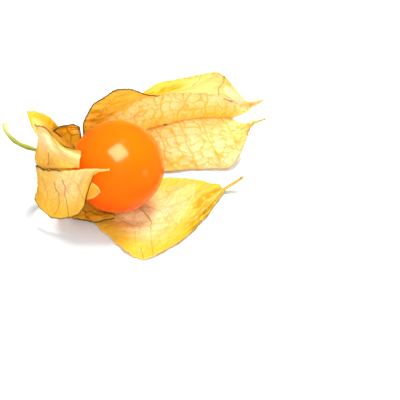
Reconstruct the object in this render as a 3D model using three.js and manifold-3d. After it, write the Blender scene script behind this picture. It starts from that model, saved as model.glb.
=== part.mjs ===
// A physalis berry (cape gooseberry) as picked: the round fruit lies in its papery husk, which is torn open
// into lobes round the fruit, on the thin stalk it hung from.
// Millimetres, +Z up. The construction below is laid out round the centre of the berry, X to the right and Y
// away from the open side of the husk, and the finished group is moved to stand on Z = 0 over its own middle.
import * as THREE from "three";
import { mergeVertices } from "three/addons/utils/BufferGeometryUtils.js";
import Module from "manifold-3d";

// Driving dimensions.
const BERRY_RADIUS = 9.5;
const GAP = 0.3; // clear space between neighbouring pieces
const SHEET = 0.6; // thickness of the husk
const RIB_RISE = 0.3; // what a main rib adds to that thickness
const RIB_WIDTH = 0.7;
const STALK_RADIUS = 0.45;
const BLOSSOM_END = new THREE.Vector3(0.62, -0.69, 0.37).normalize(); // from the stalk to the free end
const SHELL_RADIUS = BERRY_RADIUS + GAP + SHEET / 2; // the middle of a husk wall that lies against the fruit
const GROUND = -(SHELL_RADIUS + SHEET / 2 + 0.1); // the surface that the husk lies on
const LYING = GROUND + SHEET / 2; // the lowest that the middle of a husk wall gets
const NEAREST = BERRY_RADIUS + GAP + (SHEET + RIB_RISE) / 2; // the nearest that it comes to the fruit's centre
const RING_RADIUS = 2; // the ring round the stalk that every rib starts from
const CUP_RADIUS = 4.6; // the part of the husk near the stalk that is not torn
const HOLE_RADIUS = 1.55; // where the receptacle passes through that cup
const SCAR_RISE = 0.25; // the dry scar of the flower on the free end of the fruit
const SCAR_DIMPLE = 0.3;
const SEAT_DIMPLE = 0.3; // the hollow that the receptacle sits in
const STALK_ROUTE = [
  [-7.2, 8, -4.3], [-8.8, 9.5, -5.2], [-12, 10.6, -5.4], [-16.5, 10.9, -4.7], [-21, 11.6, -3.3],
  [-23.4, 12.9, -1.6], [-24.1, 14.4, 0.1],
];

// Each lobe is a list of ribs, from one torn edge to the other. A rib leaves the ring round the stalk at its
// own turn, in degrees, and runs through its points to the tip of the lobe. reach is how far along its ribs a
// lobe goes at each rib: less than 1 is a bay between two points. puff is the swell of the web after each rib,
// as a share of its width. fold is the depth of the quilting between the side veins, and veins is their number.
const LOBES = {
  // Two lobes that still hang together behind the fruit: torn lower edge, seam, crest and edge of the hood.
  back: {
    ribs: [
      [255, [-3, 10.5, -7], [0, 11.5, -9.3], [5, 11, -10.3], [9.5, 10.8, -10.3], [14, 11.5, -10.3],
        [18.5, 11.8, -10.3], [23.5, 12.2, -9.8], [26.2, 16, -6.3], [27.8, 18.6, -4], [30.7, 20, -3.3]],
      [295, [-3.5, 12, -4.5], [0, 15, -5], [4, 17.3, -4.8], [8.5, 18.2, -3.8], [13, 18.5, -2.6],
        [17.5, 18.5, -1.9], [21.5, 18.8, -1.9], [25.5, 19.2, -2.5], [28, 20.4, -2.3], [30.4, 21, -2.2]],
      [330, [-5, 11, 0.4], [-2, 13, 2.4], [2.5, 15.5, 3.9], [7.5, 18.7, 6.6], [12.5, 20.5, 7],
        [17, 21, 7.7], [21.3, 21, 7.8], [26, 21.5, 0.8], [28, 21.9, -0.2], [30.3, 22.2, -0.1]],
      [5, [-7.4, 9.2, 4.4], [-4.6, 9.9, 8.9], [1.5, 11, 11.5], [7, 12.5, 8], [10.5, 15.5, 7],
        [15.5, 17, 5.8], [20.5, 18, 4.3], [24, 19.5, 1], [27.3, 21.3, 0.2], [30.2, 21.9, 0.3]],
    ],
    reach: [1, 0.75, 1, 1],
    puff: [-0.1, -0.08, -0.08],
    fold: 0.3,
    veins: 9,
    rows: 33,
  },
  // The lobe that the fruit lies on, spread out to the front and to the right.
  front: {
    ribs: [
      [225, [-2, 7.8, -7.6], [1.5, 7, -9.2], [5, 6.5, -9.6], [9.5, 7.5, -9], [15.6, 7.3, -9.3],
        [20, 6.3, -9.8], [22.5, 5.2, -9.8], [25.9, 6, -7.3]],
      [207, [-3, 5, -8.6], [0, 3, -9.9], [4, 0.5, -10.3], [9.5, -1, -9.8], [15.5, 1.2, -8.7],
        [19.5, 3, -9.3], [22.4, 5, -9.8], [25.8, 5.8, -7.4]],
      [190, [-4, 3, -9.1], [-1.5, -1, -10.3], [1, -5.2, -8.9], [7, -8.5, -10], [12.4, -6.8, -8.9],
        [18, -2.5, -10], [22.1, 4.6, -9.9], [25.7, 5.6, -7.5]],
      [172, [-6.2, 2.5, -9], [-5.7, -4.5, -10.3], [0.5, -13.2, -10.3], [4.7, -17.2, -10.3],
        [9.8, -14.4, -10.3], [15.2, -8.2, -10.3], [20.2, 2.5, -10.3], [25.6, 5.4, -7.6]],
    ],
    reach: [1, 1, 1, 1],
    puff: [0.05, 0.05, 0.03],
    fold: 0.3,
    veins: 7,
    rows: 29,
  },
  // The edge of the husk floor that shows to the left of the fruit.
  floor: {
    ribs: [
      [180, [-5.5, 2, -9], [-3, -1.5, -9.8], [0.2, -5.3, -9.4]],
      [165, [-6.6, 2.5, -9], [-6.8, -2, -9.8], [-5, -6.4, -9.7]],
      [145, [-9.3, 3, -8.2], [-11, 0, -9.8], [-9.4, -4.6, -10]],
    ],
    reach: [1, 1, 1],
    puff: [0.04, 0.04],
    fold: 0.1,
    veins: 3,
    rows: 10,
  },
  // The lobe that wraps round the left of the fruit and lays its point on it.
  left: {
    ribs: [
      [135, [-11, 4, -7.5], [-15, 1, -8], [-17.2, -3, -6.1], [-14, -6.5, -7.8], [-10, -8, -7],
        [-7, -8.9, -4.2], [-5.2, -9.5, 2.9], [-3.8, -8.7, 5.6], [-1.3, -8.3, 5.8]],
      [118, [-11.8, 4.6, -5.8], [-15.6, 2, -5], [-16.4, -1.7, -2.4], [-14.6, -5.9, -3.3], [-11.6, -7.3, -2.2],
        [-8.3, -8.3, 0.5], [-5.7, -8.8, 4.3], [-3.8, -8.4, 5.8], [-1.3, -8.3, 5.9]],
      [100, [-12, 5, -4], [-15.5, 3, -2], [-16.5, -0.5, 0.8], [-14.5, -3, 2], [-12.5, -4.5, 3],
        [-9.5, -6.3, 4.3], [-6.2, -7.7, 5.7], [-3.8, -8.1, 6], [-1.3, -8.3, 6]],
    ],
    reach: [1, 1, 1],
    puff: [0, 0],
    fold: 0.2,
    veins: 7,
    rows: 26,
  },
  // A small point that curls up against the fruit under that lobe.
  curl: {
    ribs: [
      [150, [-9.6, 3, -6.4], [-11, -2.5, -5.5], [-8.6, -6.8, -3.6], [-5.2, -8.9, -1.2], [-3.2, -9.75, 1.4]],
      [140, [-10.2, 3.4, -5.2], [-11.2, -2, -3.2], [-9.2, -5.6, -0.6], [-7, -7.6, 1], [-5, -8.7, 2.7]],
    ],
    reach: [1, 1],
    puff: [0.1],
    fold: 0.1,
    veins: 4,
    rows: 12,
  },
  // The lobe above them, whose point stands up at the left while its torn side comes round to the front.
  upper: {
    ribs: [
      [80, [-11.8, 5.5, -2.5], [-16.4, 4, 0], [-17.1, 1.4, 0.6], [-15.6, -1.2, 0.3], [-13.2, -2.9, 1.7],
        [-10.3, -5, 3.6], [-7.5, -5.8, 4.4]],
      [68, [-12.1, 6.2, 1.5], [-15, 5.2, 4.2], [-16, 3.4, 5.4], [-15.4, 1.6, 4.2], [-13.7, -0.2, 4.9],
        [-10.7, -3, 5.2], [-7.4, -4.7, 5.8]],
      [55, [-12.5, 7, 5.5], [-15, 6.5, 8.8], [-18.4, 5.8, 10], [-16.9, 4.6, 7.6], [-14.6, 2.9, 8],
        [-11.2, -1, 6.7], [-7.2, -3.3, 7]],
    ],
    reach: [1, 1, 1],
    puff: [0, 0],
    fold: 0.15,
    veins: 5,
    rows: 24,
  },
  // A short torn strip between that lobe and the hood.
  strip: {
    ribs: [
      [45, [-9.5, 7, -0.5], [-11.8, 6.5, 2.5], [-13.3, 5, 5.3]],
      [20, [-7.6, 8.5, 0.5], [-7.9, 8.8, 3], [-8, 7.3, 4.9]],
    ],
    reach: [1, 1],
    puff: [-0.15],
    fold: 0.1,
    veins: 3,
    rows: 10,
  },
};

const wasm = await Module();
wasm.setup();

// A closed geometry as a solid for joining and cutting.
function solidOf(geometry) {
  const bare = geometry.clone();
  bare.deleteAttribute("normal");
  bare.deleteAttribute("uv");
  const merged = mergeVertices(bare, 1e-4);
  const vertProperties = merged.attributes.position.array;
  const triVerts = new Uint32Array(merged.index.array);
  return new wasm.Manifold(new wasm.Mesh({ numProp: 3, vertProperties, triVerts }));
}

// A solid as a geometry again.
function geometryOf(solid) {
  const mesh = solid.getMesh();
  const geometry = new THREE.BufferGeometry();
  geometry.setAttribute("position", new THREE.BufferAttribute(mesh.vertProperties, 3));
  geometry.setIndex(new THREE.BufferAttribute(mesh.triVerts, 1));
  geometry.computeVertexNormals();
  return geometry;
}

// Axes across the stalk, for the ring that the ribs start from.
const STALK_END = BLOSSOM_END.clone().negate();
const RING_UP = new THREE.Vector3(0, 0, 1).addScaledVector(BLOSSOM_END, -BLOSSOM_END.z).normalize();
const RING_SIDE = new THREE.Vector3().crossVectors(RING_UP, BLOSSOM_END).normalize().negate();

function ringPoint(degrees) {
  const turn = THREE.MathUtils.degToRad(degrees);
  return STALK_END.clone()
    .multiplyScalar(SHELL_RADIUS)
    .addScaledVector(RING_UP, RING_RADIUS * Math.cos(turn))
    .addScaledVector(RING_SIDE, RING_RADIUS * Math.sin(turn));
}

// The middle surface of a lobe at u along the ribs, 0 to 1, and v across them, 0 to the last rib.
function lobeSurface(lobe) {
  const curves = lobe.ribs.map(([turn, ...points]) => {
    const through = [ringPoint(turn), ...points.map((p) => new THREE.Vector3(...p))];
    return new THREE.CatmullRomCurve3(through, false, "catmullrom", 0.5);
  });
  return (u, v) => {
    const web = Math.min(Math.floor(v), curves.length - 2);
    const t = v - web;
    const bay = 1 - (1 - t) ** 3 - t ** 3;
    const along = u * THREE.MathUtils.lerp(lobe.reach[web], lobe.reach[web + 1], t);
    const [a, b] = [curves[web].getPoint(along), curves[web + 1].getPoint(along)];
    const chord = new THREE.Vector3().subVectors(b, a);
    const forward = curves[web].getTangent(along).lerp(curves[web + 1].getTangent(along), t);
    const normal = new THREE.Vector3().crossVectors(chord, forward).normalize();
    const width = chord.length();
    const arch = Math.sin(Math.PI * t);
    const slant = 0.7 * (web % 2 ? 1 - t : t);
    const quilt = Math.sin(Math.PI * (lobe.veins * along + slant)) ** 2;
    const rise = width * lobe.puff[web] * arch + lobe.fold * quilt * bay * Math.min(1, width / 6);
    const point = a.addScaledVector(chord, t).addScaledVector(normal, rise);
    point.setLength(Math.max(point.length(), NEAREST));
    point.z = Math.max(point.z, LYING);
    return { point, fromRib: Math.min(t, 1 - t) * width };
  };
}

// A thick sheet: the middle surface on a grid, moved out to both sides along its normals, and closed round
// its edges. Both faces are split along the same diagonals.
function sheetGeometry(lobe) {
  const surface = lobeSurface(lobe);
  const webs = lobe.ribs.length - 1;
  const steps = [0, 0.08, 0.25, 0.5, 0.75, 0.92];
  const across = [];
  for (let web = 0; web < webs; web++) across.push(...steps.map((t) => web + t));
  across.push(webs);
  const [rows, columns] = [lobe.rows + 1, across.length];
  const grid = [];
  for (let i = 0; i < rows; i++) {
    for (const v of across) grid.push(surface(i / lobe.rows, v));
  }
  const at = (i, j) => {
    const [row, column] = [Math.min(Math.max(i, 0), rows - 1), Math.min(Math.max(j, 0), columns - 1)];
    return grid[row * columns + column];
  };
  const faces = [[], []];
  for (let i = 0; i < rows; i++) {
    for (let j = 0; j < columns; j++) {
      const { point, fromRib } = at(i, j);
      const along = new THREE.Vector3().subVectors(at(i + 1, j).point, at(i - 1, j).point);
      const over = new THREE.Vector3().subVectors(at(i, j + 1).point, at(i, j - 1).point);
      const normal = over.cross(along).normalize();
      const half = (SHEET + RIB_RISE * Math.exp(-((fromRib / RIB_WIDTH) ** 2))) / 2;
      faces[0].push(point.clone().addScaledVector(normal, half));
      faces[1].push(point.clone().addScaledVector(normal, -half));
    }
  }
  const count = rows * columns;
  const index = [];
  const quad = (a, b, c, d) => index.push(a, b, c, a, c, d);
  for (let i = 0; i + 1 < rows; i++) {
    for (let j = 0; j + 1 < columns; j++) {
      const a = i * columns + j;
      const [b, c, d] = [a + 1, a + columns + 1, a + columns];
      index.push(a, b, c, a, c, d);
      index.push(count + a, count + c, count + b, count + a, count + d, count + c);
    }
  }
  const wall = (a, b) => quad(b, a, count + a, count + b);
  for (let j = 0; j + 1 < columns; j++) {
    wall(j, j + 1);
    wall((rows - 1) * columns + j + 1, (rows - 1) * columns + j);
  }
  for (let i = 0; i + 1 < rows; i++) {
    wall((i + 1) * columns, i * columns);
    wall(i * columns + columns - 1, (i + 1) * columns + columns - 1);
  }
  const geometry = new THREE.BufferGeometry().setFromPoints([...faces[0], ...faces[1]]);
  geometry.setIndex(index);
  return geometry;
}

// A lathe shape about the line from the centre of the berry out through the stalk. Its profile gives the radius
// and the distance from that centre.
function latheOnStalk(profile, segments) {
  const points = profile.map(([radius, out]) => new THREE.Vector2(radius, out));
  const turn = new THREE.Quaternion().setFromUnitVectors(new THREE.Vector3(0, 1, 0), STALK_END);
  return new THREE.LatheGeometry(points, segments).applyQuaternion(turn);
}

// The untorn cup of the husk: a shell round the stalk end of the fruit, with a hole for the receptacle.
function cupGeometry() {
  const inner = SHELL_RADIUS - SHEET / 2;
  const outer = SHELL_RADIUS + SHEET / 2 + 0.15;
  const [from, to] = [Math.asin(HOLE_RADIUS / inner), Math.asin(CUP_RADIUS / inner)];
  const steps = 6;
  const arc = (radius, k) => {
    const turn = from + ((to - from) * k) / steps;
    return [radius * Math.sin(turn), radius * Math.cos(turn)];
  };
  const profile = [];
  for (let k = 0; k <= steps; k++) profile.push(arc(inner, k));
  for (let k = steps; k >= 0; k--) profile.push(arc(outer, k));
  profile.push(profile[0]);
  return latheOnStalk(profile, 40);
}

// The husk: its lobes and its cup joined in one piece, and pressed flat where it lies on the ground.
function huskGeometry() {
  let husk = solidOf(cupGeometry());
  for (const lobe of Object.values(LOBES)) husk = husk.add(solidOf(sheetGeometry(lobe)));
  const side = 200;
  const above = new THREE.BoxGeometry(side, side, side).translate(0, 0, GROUND + side / 2);
  husk = husk.intersect(solidOf(above));
  const bore = latheOnStalk([[0, 8], [HOLE_RADIUS, 8], [HOLE_RADIUS, 14], [0, 14]], 24);
  const bodies = husk.subtract(solidOf(bore)).decompose();
  return geometryOf(bodies.sort((a, b) => b.volume() - a.volume())[0]);
}

// The berry: a ball with a shallow dimple round the small scar at its free end and another at the stalk.
function berryGeometry() {
  const profile = [];
  const steps = 32;
  for (let k = 0; k <= steps; k++) {
    const turn = (Math.PI * k) / steps;
    const scar = SCAR_RISE * Math.exp(-((turn / 0.07) ** 2)) - SCAR_DIMPLE * Math.exp(-((turn / 0.2) ** 2));
    const seat = SEAT_DIMPLE * Math.exp(-(((Math.PI - turn) / 0.25) ** 2));
    const radius = BERRY_RADIUS + scar - seat;
    profile.push([radius * Math.sin(turn), -radius * Math.cos(turn)]);
  }
  profile[0][0] = 0;
  profile[steps][0] = 0;
  return geometryOf(solidOf(latheOnStalk(profile, 40)));
}

// The stalk: a thin bent rod from its cut end to the receptacle, the knob that carries fruit and husk.
function stalkGeometry() {
  const start = BERRY_RADIUS + GAP - SEAT_DIMPLE;
  const knob = latheOnStalk(
    [[0, start], [1.1, start], [1.2, start + 1.2], [1.5, start + 1.9], [1.25, start + 2.5], [0.7, start + 3.2],
      [STALK_RADIUS, start + 4], [0, start + 4.2]],
    24,
  );
  const route = new THREE.CatmullRomCurve3(STALK_ROUTE.map((p) => new THREE.Vector3(...p)));
  const section = new THREE.Shape().absarc(0, 0, STALK_RADIUS, 0, 2 * Math.PI);
  const rod = new THREE.ExtrudeGeometry(section, {
    steps: 44,
    curveSegments: 6,
    bevelEnabled: false,
    extrudePath: route,
  });
  const joined = solidOf(knob).add(solidOf(rod));
  return geometryOf(joined);
}

const piece = (name, geometry, material) => {
  const mesh = new THREE.Mesh(geometry, new THREE.MeshStandardMaterial(material));
  mesh.name = name;
  return mesh;
};

const physalis = new THREE.Group();
physalis.add(
  piece("berry", berryGeometry(), { color: 0xff8200, roughness: 0.25, metalness: 0 }),
  piece("husk", huskGeometry(), { color: 0xf4cf7c, roughness: 0.7, metalness: 0 }),
  piece("stem", stalkGeometry(), { color: 0xa8a832, roughness: 0.6, metalness: 0 }),
);
const box = new THREE.Box3().setFromObject(physalis);
const middle = box.getCenter(new THREE.Vector3());
physalis.position.set(-middle.x, -middle.y, -box.min.z);

export default physalis;
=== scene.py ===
"""The finished look of a ripe physalis berry in its torn papery husk.

Every surface is worked out with numpy on a grid of two parameters. Lengths inside the functions are
millimetres from the centre of the fruit, X to the right and Y away from the open side, and become metres in
the frame at the end. The rib points are those of the construction, but for the hood's edge, which is a
little rounder here, so each sheet lies where its solid does.
"""

import bpy
import numpy as np
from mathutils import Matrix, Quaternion, Vector


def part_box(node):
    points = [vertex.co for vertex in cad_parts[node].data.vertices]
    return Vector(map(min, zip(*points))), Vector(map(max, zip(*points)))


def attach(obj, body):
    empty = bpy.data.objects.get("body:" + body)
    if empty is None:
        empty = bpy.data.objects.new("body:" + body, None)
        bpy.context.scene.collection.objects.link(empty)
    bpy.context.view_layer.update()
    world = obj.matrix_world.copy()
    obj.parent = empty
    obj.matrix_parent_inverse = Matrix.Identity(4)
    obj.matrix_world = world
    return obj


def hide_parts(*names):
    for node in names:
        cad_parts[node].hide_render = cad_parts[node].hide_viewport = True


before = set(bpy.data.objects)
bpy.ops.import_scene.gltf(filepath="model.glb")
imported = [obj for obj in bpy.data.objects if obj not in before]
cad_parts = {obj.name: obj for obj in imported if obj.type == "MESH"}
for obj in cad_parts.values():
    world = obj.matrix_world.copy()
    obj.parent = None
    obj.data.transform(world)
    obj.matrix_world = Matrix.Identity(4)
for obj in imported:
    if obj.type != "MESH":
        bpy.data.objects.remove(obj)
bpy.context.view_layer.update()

MM = 0.001
BERRY_LOW, BERRY_HIGH = (np.array(corner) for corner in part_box("berry"))
CENTRE = (BERRY_LOW + BERRY_HIGH) / 2

# Driving dimensions of the construction, in millimetres.
BERRY_RADIUS = 9.5
GAP = 0.3
SOLID_SHEET = 0.6
SHELL_RADIUS = BERRY_RADIUS + GAP + SOLID_SHEET / 2
GROUND = -(SHELL_RADIUS + SOLID_SHEET / 2 + 0.1)
BLOSSOM_END = np.array([0.62, -0.69, 0.37]) / np.linalg.norm([0.62, -0.69, 0.37])
RING_RADIUS = 2.0
CUP_RADIUS = 4.6
HOLE_RADIUS = 1.55
SCAR_RISE = 0.25
SCAR_DIMPLE = 0.3
SEAT_DIMPLE = 0.3
STALK_RADIUS = 0.45
STALK_ROUTE = [(-7.2, 8, -4.3), (-8.8, 9.5, -5.2), (-12, 10.6, -5.4), (-16.5, 10.9, -4.7), (-21, 11.6, -3.3),
               (-23.4, 12.9, -1.6), (-24.1, 14.4, 0.1)]
# The knob that carries the fruit and the husk: how far along the stalk, and its radius there.
KNOB = [(0, 0.95), (0.05, 1.1), (1.2, 1.2), (1.9, 1.5), (2.5, 1.25), (3.2, 0.7), (4, 0.48), (6, STALK_RADIUS)]

# The husk as it looks: a thin sheet with raised ribs and veins. Its edges thin out over the rim's width.
SHEET = 0.22
RIM_WIDTH = 0.3
RIM_THINNING = 0.55
RIB_RISE = 0.28
RIB_WIDTH = 0.32
VEIN_RISE = 0.05
VEIN_WIDTH = 0.2
RIDGE_RISE = 0.25
CREASE_WIDTH = 2
LYING = GROUND + SHEET / 2 + 0.05
NEAREST = BERRY_RADIUS + 0.25

# The unevenness of the sheet: how far the fields between veins swell, how deep its crumples are and how far
# apart, and the same for its finest crumples.
FIELD_RISE = 0.28
CRUMPLE, CRUMPLE_PITCH = 0.14, 6
FINE_CRUMPLE, FINE_PITCH = 0.05, 1.6
# Side veins run this many fields forward across a web, and a web this wide is quilted to its full depth.
SLANT = 0.7
QUILT_WIDTH = 6
# The net's cells: their length and width, and about the mean of both, which turns distances in the pattern
# into millimetres. The corner is where in the pattern the sheet's root lies.
CELL_LENGTH, CELL_WIDTH, CELL_MEAN = 2.3, 2.0, 2.1
CELL_CORNER = 40
# The smooth root of the sheet: where its veins begin, and over what length they come up.
VEINS_FROM, VEINS_OVER = 2, 5
# The torn edges: how deep they are drawn in and how far in that is felt, both as a share of the lobe's width.
TORN_DEPTH = 0.012
TORN_REACH = 0.05
# A distance that counts as far from any line, and the same in half widths of a mark.
FAR = 9
FAR_MARK = 5.0
# How much of the sheet one unit of its sheet coordinates covers.
UV_SPAN = 50

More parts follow.
